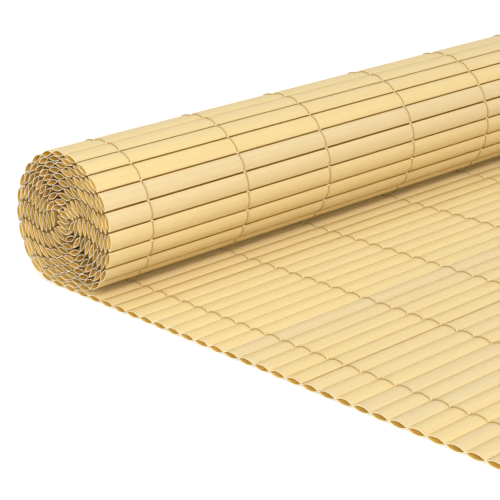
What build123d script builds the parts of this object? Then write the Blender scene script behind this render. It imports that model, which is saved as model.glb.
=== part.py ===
# Rolled PVC screening mat: hollow lens-shaped slats tied edge to edge by rows of thread.
# The mat lies part unrolled on the floor: the flat run goes towards -Y, the roll is at +Y,
# and every slat runs along X. Lengths in millimetres.

import math
import os

from build123d import *

os.makedirs("parts", exist_ok=True)

# Slat: a hollow lens-shaped tube, cut square at both ends
slat_pitch = 16.0
joint_gap = 0.4
slat_thickness = 4.6
slat_wall = 0.45
slat_length = 900.0
crown_flats = 5
bore_flats = 3

# Mat: slats that lie flat, besides the one that comes down from the roll
flat_slats = 32

# Roll: the slats folded flat in the core, the turns around them, and the play between layers
core_slats = 4
core_tilt = -12.0
full_turns = 9
layer_clearance = 0.06
floor_step = 0.05
core_rise = slat_thickness + 0.15
row_rise = 0.959 * slat_thickness

# Shape of the roll, as shares of its height above the floor run
roll_spread = 1.153
roll_widen = 0.011
roll_lean = 0.044
roll_sag = 0.06
corner_sharpness = 14
inner_looseness = 0.14

# The outermost turn comes down to the floor in this direction from the core, at this slope or less
landing_direction = 236.0
landing_slope = 33.0

# Tie threads: rows spread along the slats, each a little off an even spacing
thread_size = 0.6
thread_inset = 41.0
thread_shifts = (0.0, -2.25, -11.5, -8.75, -9.0, -7.25, -4.5, -1.75, 0.0)

slat_width = slat_pitch - joint_gap
crown_radius = (slat_width**2 + slat_thickness**2) / (4 * slat_thickness)
crown_offset = crown_radius - slat_thickness / 2
bore_radius = crown_radius - slat_wall
bore_half_width = math.sqrt(bore_radius**2 - crown_offset**2)

thread_spacing = (slat_length - 2 * thread_inset) / (len(thread_shifts) - 1)

core_half_height = core_rise * (core_slats - 1) / 2
core_reach = math.hypot(slat_pitch / 2, core_half_height)
start_angle = math.radians(core_tilt) - math.atan2(core_half_height, slat_pitch / 2)
roll_angle = 2 * math.pi * full_turns + math.radians(landing_direction) - start_angle
floor_drop = core_reach + row_rise * roll_angle / (2 * math.pi)


def lens(half_width, radius, flats):
    """Points round a lens of two equal bows, each bow in so many flats."""
    half_angle = math.asin(half_width / radius)
    middle = math.sqrt(radius**2 - half_width**2)
    points = []
    for side in (1, -1):
        for step in range(flats):
            angle = half_angle * (2 * step / flats - 1)
            height = radius * math.cos(angle) - middle
            points.append((side * radius * math.sin(angle), side * height))
    return points


edge_points = lens(slat_width / 2, crown_radius, 14)


def slat_at(along, up, angle):
    """A slat in the roll's section: its middle, its direction and the points round it."""
    cosine = math.cos(angle)
    sine = math.sin(angle)
    edge = [(along + u * cosine - v * sine, up + u * sine + v * cosine) for u, v in edge_points]
    return along, up, angle, edge


def slat_from(joint, angle):
    """The slat that starts at a joint and goes off in a direction."""
    along = joint[0] + slat_pitch / 2 * math.cos(angle)
    up = joint[1] + slat_pitch / 2 * math.sin(angle)
    return slat_at(along, up, angle)


def end_joint(slat):
    """The joint where a slat ends and the next one starts."""
    along, up, angle, edge = slat
    return along + slat_pitch / 2 * math.cos(angle), up + slat_pitch / 2 * math.sin(angle)


def reaches_into(points, slat):
    """Whether any of the points is nearer to the slat than the play between layers."""
    along, up, angle, edge = slat
    cosine = math.cos(angle)
    sine = math.sin(angle)
    reach = crown_radius + layer_clearance
    for x, y in points:
        across = (x - along) * cosine + (y - up) * sine
        above = (y - up) * cosine - (x - along) * sine
        if math.hypot(across, abs(above) + crown_offset) < reach:
            return True
    return False


def touching(slat, other):
    """Whether two slats come nearer than the play between layers."""
    if math.dist(slat[:2], other[:2]) > slat_pitch:
        return False
    return reaches_into(slat[3], other) or reaches_into(other[3], slat)


def outline_radius(angle):
    """The roll's outer turn in a direction from the core: a leaning oval, flat on the floor run."""
    oval = roll_spread + roll_widen * math.cos(2 * angle) + roll_lean * math.sin(2 * angle)
    oval = floor_drop * (oval - roll_sag * math.sin(angle))
    down = -math.sin(angle)
    if down < 0.1:
        return oval
    flat = floor_drop / down
    return (oval**-corner_sharpness + flat**-corner_sharpness) ** (-1 / corner_sharpness)


def guide_point(turned):
    """The point that the mat would reach after turning so far, with even turns."""
    grown = (turned - start_angle) / roll_angle
    grown += inner_looseness * grown * (1 - grown)
    radius = core_reach * (1 - grown) + outline_radius(turned) * grown
    return radius * math.cos(turned), radius * math.sin(turned)


def core_stack():
    """The slats at the mat's inner edge, folded flat on each other."""
    tilt = math.radians(core_tilt)
    stack = []
    for place in range(core_slats):
        height = core_half_height - core_rise * place
        angle = tilt + math.pi * (core_slats - 1 - place)
        stack.append(slat_at(-height * math.sin(tilt), height * math.cos(tilt), angle))
    return stack


def wind_roll():
    """The rolled slats from the core outwards, and how far each has turned.

    Each slat heads for the guide and gives way outwards until it clears the layers inside it.
    """
    rolled = core_stack()
    turns = [start_angle] * core_slats
    joint = end_joint(rolled[-1])
    turned = math.atan2(joint[1], joint[0])
    last_corner = start_angle + roll_angle - 0.8
    landing_height = slat_pitch * math.sin(math.radians(landing_slope))
    while len(rolled) < 400:
        if turned > last_corner and joint[1] + floor_drop < landing_height:
            break
        ahead = turned + 0.05
        while math.dist(guide_point(ahead), joint) < slat_pitch and ahead < turned + 4:
            ahead += 0.005
        target = guide_point(ahead)
        heading = math.atan2(target[1] - joint[1], target[0] - joint[0])
        for give in range(300):
            slat = slat_from(joint, heading - math.radians(0.5 * give))
            if not any(touching(slat, inner) for inner in rolled[-60:-1]):
                break
        rolled.append(slat)
        turns.append(turned)
        joint = end_joint(slat)
        turned = ahead + math.remainder(math.atan2(joint[1], joint[0]) - ahead, 2 * math.pi)
    return rolled, turns


def lay_flat(joint, floor_line):
    """The slats from the roll's last joint down to the floor line and along it."""
    drop = (joint[1] - floor_line) / slat_pitch
    heading = -math.asin(min(1, max(-1, drop)))
    run = []
    for place in range(flat_slats + 1):
        slat = slat_from(joint, heading)
        run.append(slat)
        joint = end_joint(slat)
        heading = 0.0
    return run


def offset_line(joints, distance):
    """The line of joints moved to the mat's outer side, or to its inner side if negative."""
    headings = []
    for first, second in zip(joints, joints[1:]):
        headings.append(math.atan2(second[1] - first[1], second[0] - first[0]))
    moved = []
    for place, (along, up) in enumerate(joints):
        before = headings[max(place - 1, 0)]
        after = headings[min(place, len(headings) - 1)]
        half_turn = math.remainder(after - before, 2 * math.pi) / 2
        out = before + half_turn - math.pi / 2
        reach = distance / math.cos(half_turn)
        moved.append((along + reach * math.cos(out), up + reach * math.sin(out)))
    return moved


# The flat run goes down from inside the roll's underside until it clears every rolled slat
rolled_slats, slat_turns = wind_roll()
for lowering in range(400):
    floor_line = slat_thickness - floor_drop - floor_step * lowering
    flat_run = lay_flat(end_joint(rolled_slats[-1]), floor_line)
    if not any(touching(slat, inner) for slat in flat_run[:14] for inner in rolled_slats[-40:-1]):
        break

# Threads: one strand under the flat run, one over it, and one round the outside of the roll
strand_near = slat_thickness / 2 + layer_clearance
strand_far = strand_near + thread_size
first_floor_joint = end_joint(flat_run[0])
free_edge = end_joint(flat_run[-1])[0] - joint_gap / 2
lowest = min(up for slat in rolled_slats for along, up in slat[3])
roll_bottom = max(floor_line + strand_far, lowest) + layer_clearance
nip = max(along for slat in rolled_slats for along, up in slat[3] if up < roll_bottom)
outer_joints = [first_floor_joint]
for slat in [flat_run[0]] + rolled_slats[::-1]:
    joint = (slat[0] * 2 - end_joint(slat)[0], slat[1] * 2 - end_joint(slat)[1])
    if joint[0] > 0 and joint[1] < floor_line + 2 * strand_far + slat_thickness:
        break
    outer_joints.insert(0, joint)
roll_strand_outer = offset_line(outer_joints, strand_far)
roll_strand_inner = offset_line(outer_joints, strand_near)

# The section looks from the roll's open end: along the mat is -Y, up is Z
roll_edge = min(along for along, up in roll_strand_outer)
along_middle = (roll_edge + free_edge) / 2
floor_level = floor_line - strand_far


def section_plane(x):
    """The plane across the slats at a place along them."""
    return Plane(origin=(x, along_middle, -floor_level), x_dir=(0, -1, 0), z_dir=(-1, 0, 0))


with BuildSketch() as slat_section:
    with BuildLine():
        Polyline(*lens(slat_width / 2, crown_radius, crown_flats), close=True)
    make_face()
    with BuildLine():
        Polyline(*lens(bore_half_width, bore_radius, bore_flats), close=True)
    make_face(mode=Mode.SUBTRACT)

# Slats, one group for the core and for each turn, and each flat slat by itself
slat_groups = {"roll_core": rolled_slats[:core_slats]}
for slat, turned in zip(rolled_slats[core_slats:], slat_turns[core_slats:]):
    turn = int((turned - start_angle) / (2 * math.pi)) + 1
    slat_groups.setdefault(f"roll_turn_{turn:02d}", []).append(slat)
slat_groups["landing_slat"] = flat_run[:1]
for place, slat in enumerate(flat_run[1:], 1):
    slat_groups[f"flat_slat_{place:02d}"] = [slat]

for name, group in slat_groups.items():
    places = [Location((along, up, 0), (0, 0, math.degrees(angle))) for along, up, angle, edge in group]
    with BuildPart() as slats:
        with BuildSketch(section_plane(slat_length / 2)):
            with Locations(*places):
                add(slat_section.sketch)
        extrude(amount=slat_length)
    slats.part.label = name
    export_step(slats.part, f"parts/{name}.step")

for row, shift in enumerate(thread_shifts):
    place = thread_inset + thread_spacing * row + shift - slat_length / 2
    with BuildPart() as thread:
        with BuildSketch(section_plane(place)):
            with BuildLine():
                Polyline(*roll_strand_outer, *roll_strand_inner[::-1], close=True)
            make_face()
            under = free_edge - first_floor_joint[0]
            with Locations((first_floor_joint[0], floor_line - strand_far)):
                Rectangle(under, thread_size, align=(Align.MIN, Align.MIN))
            over = free_edge - max(nip, first_floor_joint[0]) - thread_size
            with Locations((free_edge, floor_line + strand_near)):
                Rectangle(over, thread_size, align=(Align.MAX, Align.MIN))
        extrude(amount=thread_size / 2, both=True)
    thread.part.label = f"tie_thread_{row + 1:02d}"
    export_step(thread.part, f"parts/tie_thread_{row + 1:02d}.step")
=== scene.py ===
"""Looks of the part-rolled PVC screening mat: smooth hollow slats, crossing tie threads, white studio."""

import math
import random
from itertools import combinations

import bmesh
import bpy
from mathutils import Matrix, Vector


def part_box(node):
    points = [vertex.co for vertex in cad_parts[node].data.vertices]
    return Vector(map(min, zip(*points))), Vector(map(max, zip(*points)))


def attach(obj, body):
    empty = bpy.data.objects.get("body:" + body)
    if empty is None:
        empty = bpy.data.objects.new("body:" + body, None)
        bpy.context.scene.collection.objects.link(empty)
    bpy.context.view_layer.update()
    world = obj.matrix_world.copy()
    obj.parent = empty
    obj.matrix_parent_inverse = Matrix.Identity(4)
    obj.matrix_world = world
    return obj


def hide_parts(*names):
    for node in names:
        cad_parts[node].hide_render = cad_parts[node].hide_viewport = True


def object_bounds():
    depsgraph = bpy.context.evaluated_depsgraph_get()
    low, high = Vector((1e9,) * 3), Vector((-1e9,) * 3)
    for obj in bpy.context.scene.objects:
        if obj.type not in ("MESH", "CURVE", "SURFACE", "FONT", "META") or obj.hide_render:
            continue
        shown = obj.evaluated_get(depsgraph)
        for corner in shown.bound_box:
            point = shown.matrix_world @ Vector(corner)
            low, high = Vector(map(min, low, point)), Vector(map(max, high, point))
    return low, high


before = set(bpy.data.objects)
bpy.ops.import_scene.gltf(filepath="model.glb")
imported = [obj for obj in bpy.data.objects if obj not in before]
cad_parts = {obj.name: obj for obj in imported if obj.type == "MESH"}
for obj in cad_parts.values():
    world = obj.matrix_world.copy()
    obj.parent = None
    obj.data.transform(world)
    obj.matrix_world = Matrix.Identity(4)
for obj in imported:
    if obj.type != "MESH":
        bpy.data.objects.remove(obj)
cad_low, cad_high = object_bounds()

MM = 0.001

# Slat section: the CAD's pitch, width and thickness, with a thinner rim and blunt tips
SLAT_PITCH = 16.0 * MM
SLAT_WIDTH = 15.6 * MM
SLAT_THICKNESS = 4.6 * MM
SLAT_WALL = 0.27 * MM
JOINT_GAP = SLAT_PITCH - SLAT_WIDTH
TIP_BLUNT = 0.12 * MM
# Width of the band next to each tip, which carries the tip look with its painted shade or light
TIP_BAND = 0.45 * MM
CROWN_STEPS = 14
BORE_STEPS = 10

# Reading the CAD meshes: points this near are one, and a cut end is this deep
MERGE_DISTANCE = 0.01 * MM
END_DEPTH = 0.1 * MM

# Slats that show, on the floor and round the outside of the roll, and how near the next slat's tip is
SHOWN_SLATS = 58
NEXT_TIP_REACH = 2 * JOINT_GAP

# Random play of the slats, which is the same in each run
RANDOM_SEED = 7

# Flat slats: most joints are closed, and a few stand open
OPEN_SHARE = 0.12
CLOSED_WIDTH = 15.92 * MM
OPEN_WIDTH = 15.62 * MM

# Flat slats with numbers below this lie next to the roll, with tips lightened by painted light that offsets
# the shade of their joints, and less spread of tint
TIGHT_SLATS = 14
TIGHT_TINT = 0.3

# Rolled slats: their widths, and how far their ends stand aside at most
ROLLED_WIDTHS = (15.15 * MM, 15.7 * MM)
ROLLED_ASIDE = 0.12 * MM

# Rolled slats that lie level close up, less the steeper they stand, and the most level get a lighter
# painted shade on their tips
LEVEL_CLOSING = 0.2 * MM
LEVEL_FALL = 1.6
PALE_LEVEL = 0.3

# Tie threads: two strands to a row, a little aside, lifted at the joints to the side that shows
THREAD_RADIUS = 0.42 * MM
THREAD_SIDES = 6
THREAD_STEPS = 10
FLAT_ASIDE = 0.3 * MM
ROLL_ASIDE = 0.1 * MM
JOINT_LIFT = 0.8 * MM

# Knots at the joints, with a share of the strands' lift and blunt tips
KNOT_SHARE = 0.6
KNOT_RADIUS = 0.7 * MM
KNOT_REACH = 1.8 * MM
KNOT_TIP = 0.15
KNOT_STEPS = 6
KNOT_SIDES = 6

# Layer of the faces that holds each slat's tint
TINT_LAYER = "tint"

# Faint streaks along the slats: the noise's stretch, size and detail, and its range turned into shade
STREAK_STRETCH = (3, 700, 700)
STREAK_SIZE = 1.0
STREAK_DETAIL = 3
STREAK_NOISE = (0.3, 0.7)
STREAK_SHADE = (0.955, 1.03)

# Sockets of a Mix node that mixes colours
MIX_FACTOR = 0
MIX_FIRST = 6
MIX_SECOND = 7
MIX_RESULT = 2

# Camera: its place from the near end of the joint past one flat slat, its direction, roll and lens
JOINT_AFTER = "flat_slat_03"
CAMERA_FROM_JOINT = Vector((-667.9, -945.9, 447.5)) * MM
CAMERA_FORWARD = Vector((0.62473, 0.70470, -0.33631))
CAMERA_ROLL = math.radians(-2.015)
CAMERA_LENS = 113.5
CAMERA_SENSOR = 36
CAMERA_REACH = 100

# Studio: white floor, and surroundings that are warmer and dimmer towards the horizon
WHITE = (1, 1, 1, 1)
WHITE_STRENGTH = 1.0
FLOOR_SIZE = 30
FLOOR_COLOUR = (0.9, 0.9, 0.9)
FLOOR_LIFT = 0.3
ZENITH_LIGHT = 0.69
HORIZON_LIGHT = 0.52
HORIZON_COLOUR = (1.0, 0.90, 0.72)

# Soft lamps: name, place, target, size and power
LAMPS = (
    ("front", (-2.1, -2.6, 3.8), (0, 0, 0), 2.5, 66),
    ("side", (-2.6, -0.9, 1.0), (-0.45, 0.15, 0.05), 1.0, 42),
    ("fill", (-0.9, -3.2, 0.9), (0, 0.2, 0.04), 1.2, 7),
    ("far", (2.6, 0.3, 0.6), (0.45, 0.15, 0.05), 1.0, 18),
)


def node_islands(node):
    """The separate solids of a CAD node, each as its points (y, z) in the plane of its low X end."""
    mesh = bmesh.new()
    mesh.from_mesh(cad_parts[node].data)
    bmesh.ops.remove_doubles(mesh, verts=mesh.verts, dist=MERGE_DISTANCE)
    seen = set()
    islands = []
    for first in mesh.verts:
        if first in seen:
            continue
        seen.add(first)
        group = [first]
        for vert in group:
            for edge in vert.link_edges:
                other = edge.other_vert(vert)
                if other not in seen:
                    seen.add(other)
                    group.append(other)
        low = min(vert.co.x for vert in group)
        islands.append([(vert.co.y, vert.co.z) for vert in group if vert.co.x < low + END_DEPTH])
    mesh.free()
    return islands


def slat_tips(points):
    """A slat's two tips, which are its end points furthest apart."""
    return max(combinations(points, 2), key=lambda pair: math.dist(*pair))


slat_nodes = [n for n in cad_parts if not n.startswith("tie_thread")]
thread_nodes = sorted(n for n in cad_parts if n.startswith("tie_thread"))
flat_nodes = sorted(n for n in slat_nodes if n.startswith("flat_slat"))
slats = {node: [slat_tips(points) for points in node_islands(node)] for node in slat_nodes}
slat_low = cad_low[0]
slat_high = cad_high[0]


def mat_from_free_edge():
    """The slats that show, in order from the free edge along the floor and round the roll's outside."""
    order = [tuple(sorted(slats[node][0])) for node in flat_nodes[::-1] + ["landing_slat"]]
    loose = [slat for node in slat_nodes if node.startswith("roll_turn") for slat in slats[node]]
    last = order[-1][1]
    while len(order) < SHOWN_SLATS:
        near = [(math.dist(tip, last), slat, tip) for slat in loose for tip in slat]
        gap, slat, tip = min(near, key=lambda item: item[0])
        if gap > NEXT_TIP_REACH:
            break
        loose.remove(slat)
        last = slat[0] if tip == slat[1] else slat[1]
        order.append((tip, last))
    return order


mat_order = mat_from_free_edge()
shown_slats = {frozenset(slat) for slat in mat_order}


def slat_direction(first, second):
    """The angle in the section from one end of a slat to the other."""
    return math.atan2(second[1] - first[1], second[0] - first[0])


def section_point(first, second, along, up):
    """The point (y, z) at a place along and above the middle of a slat."""
    angle = slat_direction(first, second)
    y = (first[0] + second[0]) / 2 + along * math.cos(angle) - up * math.sin(angle)
    z = (first[1] + second[1]) / 2 + along * math.sin(angle) + up * math.cos(angle)
    return y, z


def bow(width):
    """The radius of a slat's bow, and how far its centre is from the slat's middle."""
    radius = (width**2 + SLAT_THICKNESS**2) / (4 * SLAT_THICKNESS)
    return radius, radius - SLAT_THICKNESS / 2


def lens_outline(half_width, radius, steps):
    """Points round a lens of two equal bows, with blunt tips and a narrow band next to them."""
    half_angle = math.asin(half_width / radius)
    middle = math.sqrt(radius**2 - half_width**2)
    tip = half_angle * (1 - TIP_BLUNT / half_width)
    band = half_angle * (1 - TIP_BAND / half_width)
    angles = [-tip] + [band * (2 * step / steps - 1) for step in range(steps + 1)] + [tip]
    points = []
    for side in (1, -1):
        for angle in angles:
            height = radius * math.cos(angle) - middle
            points.append((side * radius * math.sin(angle), side * height))
    return points


def slat_outlines(width):
    """The crown's and the bore's outlines of a slat of this width."""
    radius, middle = bow(width)
    bore_radius = radius - SLAT_WALL
    bore_half_width = math.sqrt(bore_radius**2 - middle**2)
    crown = lens_outline(width / 2, radius, CROWN_STEPS)
    bore = lens_outline(bore_half_width, bore_radius, BORE_STEPS)
    return crown, bore


def join_rings(bm, rings):
    """The walls between neighbouring rings of points."""
    faces = []
    for first, second in zip(rings, rings[1:]):
        for i in range(len(first)):
            j = (i + 1) % len(first)
            faces.append(bm.faces.new((first[i], first[j], second[j], second[i])))
    return faces


def add_slat(bm, tint_layer, tips, width, asides, looks, tint):
    """One hollow slat between two tips: crown, bore and the two cut rims."""
    crown_look, bore_look, painted_tip_look = looks
    crown_outline, bore_outline = slat_outlines(width)

    def ring(outline, x, aside):
        return [bm.verts.new((x, *section_point(*tips, across + aside, up))) for across, up in outline]

    def wall(first, second, look, tip_look):
        # Each bow starts and ends with a narrow band, and a blunt tip follows it; on the crown these take
        # the tip look, which is painted shade in the joint or painted light that offsets it
        half = len(first) // 2
        for i, face in enumerate(join_rings(bm, [first, second])):
            at_tip = i % half in (0, half - 2, half - 1)
            face.material_index = tip_look if at_tip else look
            face.smooth = True
            face[tint_layer] = tint

    def rim(outer, inner):
        edges = []
        for loop in (outer, inner):
            for pair in zip(loop, loop[1:] + loop[:1]):
                edge = bm.edges.get(pair)
                edge.smooth = False
                edges.append(edge)
        filled = bmesh.ops.triangle_fill(bm, use_beauty=True, edges=edges)
        for item in filled["geom"]:
            if isinstance(item, bmesh.types.BMFace):
                item.material_index = RIM
                item[tint_layer] = tint

    near_crown = ring(crown_outline, slat_low, asides[0])
    far_crown = ring(crown_outline, slat_high, asides[1])
    near_bore = ring(bore_outline, slat_low, asides[0])
    far_bore = ring(bore_outline, slat_high, asides[1])
    wall(near_crown, far_crown, crown_look, painted_tip_look)
    wall(far_bore, near_bore, bore_look, bore_look)
    rim(near_crown, near_bore)
    rim(far_crown, far_bore)


def new_material(name, roughness, gloss):
    """A node material with this finish, its node tree and its shader."""
    material = bpy.data.materials.new(name)
    material.use_nodes = True
    shader = material.node_tree.nodes["Principled BSDF"]
    shader.inputs["Roughness"].default_value = roughness
    shader.inputs["Specular IOR Level"].default_value = gloss
    return material, material.node_tree, shader


def pvc_material(name, warm, cool, roughness, gloss):
    """Satin PVC: each slat has its own tint, with faint streaks along it."""
    material, tree, shader = new_material(name, roughness, gloss)
    nodes = tree.nodes
    links = tree.links
    tint = nodes.new("ShaderNodeAttribute")
    tint.attribute_name = TINT_LAYER
    mix = nodes.new("ShaderNodeMix")
    mix.data_type = "RGBA"
    mix.inputs[MIX_FIRST].default_value = (*warm, 1)
    mix.inputs[MIX_SECOND].default_value = (*cool, 1)
    links.new(tint.outputs["Fac"], mix.inputs[MIX_FACTOR])
    place = nodes.new("ShaderNodeTexCoord")
    stretch = nodes.new("ShaderNodeMapping")
    stretch.inputs["Scale"].default_value = STREAK_STRETCH
    links.new(place.outputs["Object"], stretch.inputs["Vector"])
    streaks = nodes.new("ShaderNodeTexNoise")
    streaks.inputs["Scale"].default_value = STREAK_SIZE
    streaks.inputs["Detail"].default_value = STREAK_DETAIL
    links.new(stretch.outputs["Vector"], streaks.inputs["Vector"])
    spread = nodes.new("ShaderNodeMapRange")
    spread.inputs["From Min"].default_value = STREAK_NOISE[0]
    spread.inputs["From Max"].default_value = STREAK_NOISE[1]
    spread.inputs["To Min"].default_value = STREAK_SHADE[0]
    spread.inputs["To Max"].default_value = STREAK_SHADE[1]
    links.new(streaks.outputs["Fac"], spread.inputs["Value"])
    shade = nodes.new("ShaderNodeVectorMath")
    shade.operation = "SCALE"
    links.new(mix.outputs[MIX_RESULT], shade.inputs[0])
    links.new(spread.outputs["Result"], shade.inputs["Scale"])
    links.new(shade.outputs["Vector"], shader.inputs["Base Color"])
    return material


def plain_material(name, colour, roughness, gloss):
    """One even colour."""
    material, _, shader = new_material(name, roughness, gloss)
    shader.inputs["Base Color"].default_value = (*colour, 1)
    return material


# Looks of a slat's faces, in the order of the material slots
CROWN, BORE, RIM, SHADED_INNER_CROWN, INNER_BORE, SHADED_TIP, LIGHTENED_TIP, HALF_SHADED_TIP = range(8)
slat_looks = [
    pvc_material("slat_crown", (0.775, 0.607, 0.285), (0.73, 0.582, 0.325), roughness=0.45, gloss=0.35),
    # Bores of the slats that show: the PVC's own tint made a deeper ochre, painted warm light bounced
    # inside the hollow and come through its walls
    pvc_material("slat_bore_painted_inner_light", (0.80, 0.55, 0.13), (0.72, 0.48, 0.10), roughness=0.5, gloss=0.1),
    plain_material("slat_rim", (0.99, 0.91, 0.70), roughness=0.5, gloss=0.2),
    # Crowns of slats inside the roll: dark brown, painted shade of the inner turns
    plain_material("slat_inner_crown_painted_shade", (0.42, 0.26, 0.06), roughness=0.5, gloss=0.05),
    # Bores of slats inside the roll: their own tint, with a random share painted darker as shade in the
    # hollows
    pvc_material("slat_inner_bore_tint_and_painted_shade", (0.84, 0.57, 0.16), (0.56, 0.36, 0.08), roughness=0.5, gloss=0.1),
    # Dark brown tips: painted shade in the grooves of the joints
    plain_material("slat_tip_painted_shade", (0.50, 0.24, 0.03), roughness=0.6, gloss=0.05),
    # Pale tips: painted light that lifts the shade in the closed joints next to the roll
    plain_material("slat_tip_painted_light", (0.96, 0.82, 0.50), roughness=0.6, gloss=0.1),
    # Mid-brown tips: a lighter painted shade in the joints
    plain_material("slat_tip_painted_half_shade", (0.82, 0.60, 0.24), roughness=0.6, gloss=0.1),
]

# Looks of a thread row: its strands and its knots
STRAND, KNOT = range(2)
thread_looks = [
    # Strands: the pale nylon darkened to brown, a painted shadow line along each strand on the crowns
    plain_material("thread_with_painted_shadow", (0.44, 0.30, 0.11), roughness=0.5, gloss=0.3),
    plain_material("knot_nylon", (0.84, 0.71, 0.45), roughness=0.5, gloss=0.2),
]


def new_piece(name, bm, looks):
    """An object made of a finished mesh."""
    bmesh.ops.recalc_face_normals(bm, faces=bm.faces)
    mesh = bpy.data.meshes.new(name)
    bm.to_mesh(mesh)
    bm.free()
    for material in looks:
        mesh.materials.append(material)
    piece = bpy.data.objects.new(name, mesh)
    bpy.context.collection.objects.link(piece)
    return piece


def flat_play(node):
    """A flat slat's width, and the painted shade or light on its tips."""
    closed = random.random() > OPEN_SHARE
    # Open joints get dark tips, painted shade in the gap
    if not closed:
        return OPEN_WIDTH, SHADED_TIP
    # Closed joints: painted light on the tips next to the roll, painted half shade further out
    painted_tip_look = LIGHTENED_TIP if int(node[-2:]) < TIGHT_SLATS else HALF_SHADED_TIP
    return CLOSED_WIDTH, painted_tip_look


def rolled_play(first, second):
    """A rolled slat's width, how far its two ends stand aside, and the painted shade on its tips."""
    steepness = abs(second[1] - first[1]) / math.dist(first, second)
    level = max(0, 1 - LEVEL_FALL * steepness)
    width = random.uniform(*ROLLED_WIDTHS) + LEVEL_CLOSING * level
    play = min(ROLLED_ASIDE, (CLOSED_WIDTH - width) / 2)
    asides = (random.uniform(-play, play), random.uniform(-play, play))
    # The most level slats get a lighter painted shade on their tips, the steeper ones a dark one
    painted_tip_look = HALF_SHADED_TIP if level > PALE_LEVEL else SHADED_TIP
    return width, asides, painted_tip_look


random.seed(RANDOM_SEED)
for node in slat_nodes:
    bm = bmesh.new()
    tint_layer = bm.faces.layers.float.new(TINT_LAYER)
    for tips in slats[node]:
        asides = (0, 0)
        if node in flat_nodes:
            width, painted_tip_look = flat_play(node)
        else:
            width, asides, painted_tip_look = rolled_play(*tips)
        # Slats inside the roll get painted shade on their crowns, bores and tips; the slats that show keep
        # the lit looks
        looks = (SHADED_INNER_CROWN, INNER_BORE, SHADED_TIP)
        if frozenset(tips) in shown_slats:
            looks = (CROWN, BORE, painted_tip_look)
        tint = random.random()
        if painted_tip_look == LIGHTENED_TIP:
            tint *= TIGHT_TINT
        add_slat(bm, tint_layer, tips, width, asides, looks, tint)
    piece = new_piece(f"{node}_fine", bm, slat_looks)
    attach(piece, "root")
    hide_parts(node)


def strand_over(first, second, side, lift):
    """The way (y, z) of a strand from joint to joint over one side of a slat."""
    crown_radius, crown_middle = bow(SLAT_WIDTH)
    radius = crown_radius + THREAD_RADIUS
    half_angle = math.asin(SLAT_PITCH / 2 / radius)
    points = []
    for step in range(THREAD_STEPS + 1):
        turn = half_angle * (2 * step / THREAD_STEPS - 1)
        up = side * max(0, radius * math.cos(turn) - crown_middle)
        if step in (0, THREAD_STEPS):
            up = lift
        points.append(section_point(first, second, radius * math.sin(turn), up))
    return points


def add_strand(bm, path):
    """A thin round strand along a path."""
    rings = []
    for i, point in enumerate(path):
        before = path[max(i - 1, 0)]
        after = path[min(i + 1, len(path) - 1)]
        ahead = (after - before).normalized()
        across = Vector((1, 0, 0))
        across = (across - ahead * across.dot(ahead)).normalized()
        up = ahead.cross(across)
        ring = []
        for k in range(THREAD_SIDES):
            turn = 2 * math.pi * k / THREAD_SIDES
            out = across * math.cos(turn) + up * math.sin(turn)
            ring.append(bm.verts.new(point + out * THREAD_RADIUS))
        rings.append(ring)
    faces = join_rings(bm, rings)
    for face in faces:
        face.smooth = True
    faces += [bm.faces.new(rings[0][::-1]), bm.faces.new(rings[-1])]
    for face in faces:
        face.material_index = STRAND


def add_knot(bm, x, first, second, next_second, lift):
    """The crossing of the two strands in a joint, which stands up between two slats."""
    before = slat_direction(first, second)
    after = slat_direction(second, next_second)
    lean = before + math.remainder(after - before, 2 * math.pi) / 2
    up = Vector((0, -math.sin(lean), math.cos(lean)))
    joint_y = second[0] + JOINT_GAP / 2 * math.cos(before)
    joint_z = second[1] + JOINT_GAP / 2 * math.sin(before)
    rings = []
    for step in range(KNOT_STEPS + 1):
        turn = math.pi * step / KNOT_STEPS
        middle = Vector((x, joint_y, joint_z)) + up * (KNOT_REACH * math.cos(turn) + lift)
        radius = KNOT_RADIUS * max(KNOT_TIP, math.sin(turn))
        ring = []
        for k in range(KNOT_SIDES):
            spin = 2 * math.pi * k / KNOT_SIDES
            out = Vector((math.cos(spin), math.sin(spin) * math.cos(lean), math.sin(spin) * math.sin(lean)))
            ring.append(bm.verts.new(middle + out * radius))
        rings.append(ring)
    faces = [bm.faces.new(rings[0]), bm.faces.new(rings[-1][::-1])]
    faces += join_rings(bm, rings)
    for face in faces:
        face.material_index = KNOT
        face.smooth = True


for node in thread_nodes:
    low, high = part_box(node)
    row_x = (low[0] + high[0]) / 2
    bm = bmesh.new()
    for first_side in (1, -1):
        path = []
        for count, (first, second) in enumerate(mat_order):
            flat = count < len(flat_nodes)
            side = first_side if count % 2 == 0 else -first_side
            points = strand_over(first, second, side, JOINT_LIFT if flat else -JOINT_LIFT)
            if path:
                points = points[1:]
            x = row_x + first_side * (FLAT_ASIDE if flat else ROLL_ASIDE)
            path += [Vector((x, y, max(z, cad_low[2] + THREAD_RADIUS))) for y, z in points]
        add_strand(bm, path)
    for count, (slat, next_slat) in enumerate(zip(mat_order, mat_order[1:])):
        lift = JOINT_LIFT if count < len(flat_nodes) else -JOINT_LIFT
        add_knot(bm, row_x, *slat, next_slat[1], KNOT_SHARE * lift)
    piece = new_piece(f"{node}_strands", bm, thread_looks)
    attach(piece, "root")
    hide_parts(node)


def background_ray(tree):
    """One for the rays that see the background, straight or in gloss or glass, and zero for other light."""
    ray = tree.nodes.new("ShaderNodeLightPath")
    mirrored = tree.nodes.new("ShaderNodeMath")
    mirrored.operation = "MAXIMUM"
    tree.links.new(ray.outputs["Is Glossy Ray"], mirrored.inputs[0])
    tree.links.new(ray.outputs["Is Transmission Ray"], mirrored.inputs[1])
    seen = tree.nodes.new("ShaderNodeMath")
    seen.operation = "MAXIMUM"
    tree.links.new(ray.outputs["Is Camera Ray"], seen.inputs[0])
    tree.links.new(mirrored.outputs["Value"], seen.inputs[1])
    return seen.outputs["Value"]


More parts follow.
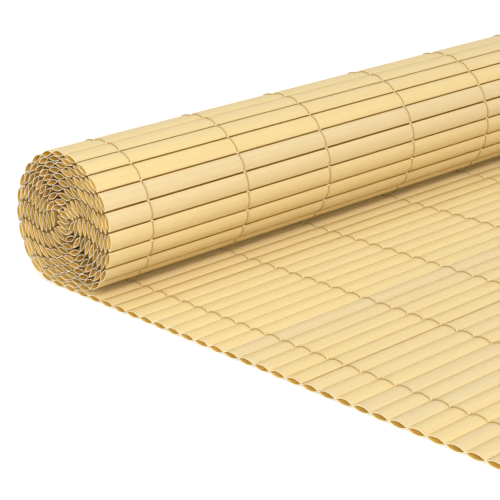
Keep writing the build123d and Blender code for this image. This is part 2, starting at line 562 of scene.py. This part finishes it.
def white_stage():
    """A wide white floor, which looks white to the camera and keeps the shadow near the mat."""
    bpy.ops.mesh.primitive_plane_add(size=FLOOR_SIZE, location=(0, 0, cad_low[2]))
    floor = bpy.context.object
    material, tree, shader = new_material("studio_floor", roughness=0.9, gloss=0.0)
    shader.inputs["Base Color"].default_value = (*FLOOR_COLOUR, 1)
    shader.inputs["Emission Color"].default_value = WHITE
    lift = tree.nodes.new("ShaderNodeMath")
    lift.operation = "MULTIPLY"
    lift.inputs[1].default_value = FLOOR_LIFT
    tree.links.new(background_ray(tree), lift.inputs[0])
    tree.links.new(lift.outputs["Value"], shader.inputs["Emission Strength"])
    floor.data.materials.append(material)


def light_surroundings():
    """Soft light from all round, brighter and whiter from above, and a white background."""
    world = bpy.data.worlds.new("studio")
    bpy.context.scene.world = world
    world.use_nodes = True
    tree = world.node_tree
    background = tree.nodes["Background"]
    way = tree.nodes.new("ShaderNodeTexCoord")
    height = tree.nodes.new("ShaderNodeSeparateXYZ")
    tree.links.new(way.outputs["Generated"], height.inputs["Vector"])
    ray = background_ray(tree)
    sky = tree.nodes.new("ShaderNodeMapRange")
    sky.inputs["To Min"].default_value = HORIZON_LIGHT
    sky.inputs["To Max"].default_value = ZENITH_LIGHT
    tree.links.new(height.outputs["Z"], sky.inputs["Value"])
    strength = tree.nodes.new("ShaderNodeMapRange")
    strength.inputs["To Max"].default_value = WHITE_STRENGTH
    tree.links.new(ray, strength.inputs["Value"])
    tree.links.new(sky.outputs["Result"], strength.inputs["To Min"])
    tree.links.new(strength.outputs["Result"], background.inputs["Strength"])
    whiteness = tree.nodes.new("ShaderNodeMath")
    whiteness.operation = "MAXIMUM"
    whiteness.use_clamp = True
    tree.links.new(height.outputs["Z"], whiteness.inputs[0])
    tree.links.new(ray, whiteness.inputs[1])
    warmth = tree.nodes.new("ShaderNodeMix")
    warmth.data_type = "RGBA"
    warmth.inputs[MIX_FIRST].default_value = (*HORIZON_COLOUR, 1)
    warmth.inputs[MIX_SECOND].default_value = WHITE
    tree.links.new(whiteness.outputs["Value"], warmth.inputs[MIX_FACTOR])
    tree.links.new(warmth.outputs[MIX_RESULT], background.inputs["Color"])


def add_lamp(name, place, target, size, power):
    """A soft square lamp that faces a point."""
    data = bpy.data.lights.new(name, "AREA")
    data.energy = power
    data.size = size
    lamp = bpy.data.objects.new(name, data)
    lamp.location = place
    lamp.rotation_euler = (Vector(target) - Vector(place)).to_track_quat("-Z", "Y").to_euler()
    bpy.context.collection.objects.link(lamp)


def place_camera():
    """The photograph's viewing angle and framing."""
    joint_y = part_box(JOINT_AFTER)[0][1] - JOINT_GAP / 2
    data = bpy.data.cameras.new("camera")
    data.lens = CAMERA_LENS
    data.sensor_width = CAMERA_SENSOR
    data.clip_end = CAMERA_REACH
    camera = bpy.data.objects.new("camera", data)
    forward = CAMERA_FORWARD.normalized()
    right = forward.cross(Vector((0, 0, 1))).normalized()
    up = right.cross(forward)
    turned_right = right * math.cos(CAMERA_ROLL) + up * math.sin(CAMERA_ROLL)
    turned_up = turned_right.cross(forward)
    rotation = Matrix((turned_right, turned_up, -forward)).transposed().to_4x4()
    place = Vector((slat_low, joint_y, cad_low[2])) + CAMERA_FROM_JOINT
    camera.matrix_world = Matrix.Translation(place) @ rotation
    bpy.context.collection.objects.link(camera)
    bpy.context.scene.camera = camera


white_stage()
light_surroundings()
for lamp in LAMPS:
    add_lamp(*lamp)
place_camera()
bpy.context.scene.view_settings.view_transform = "Standard"
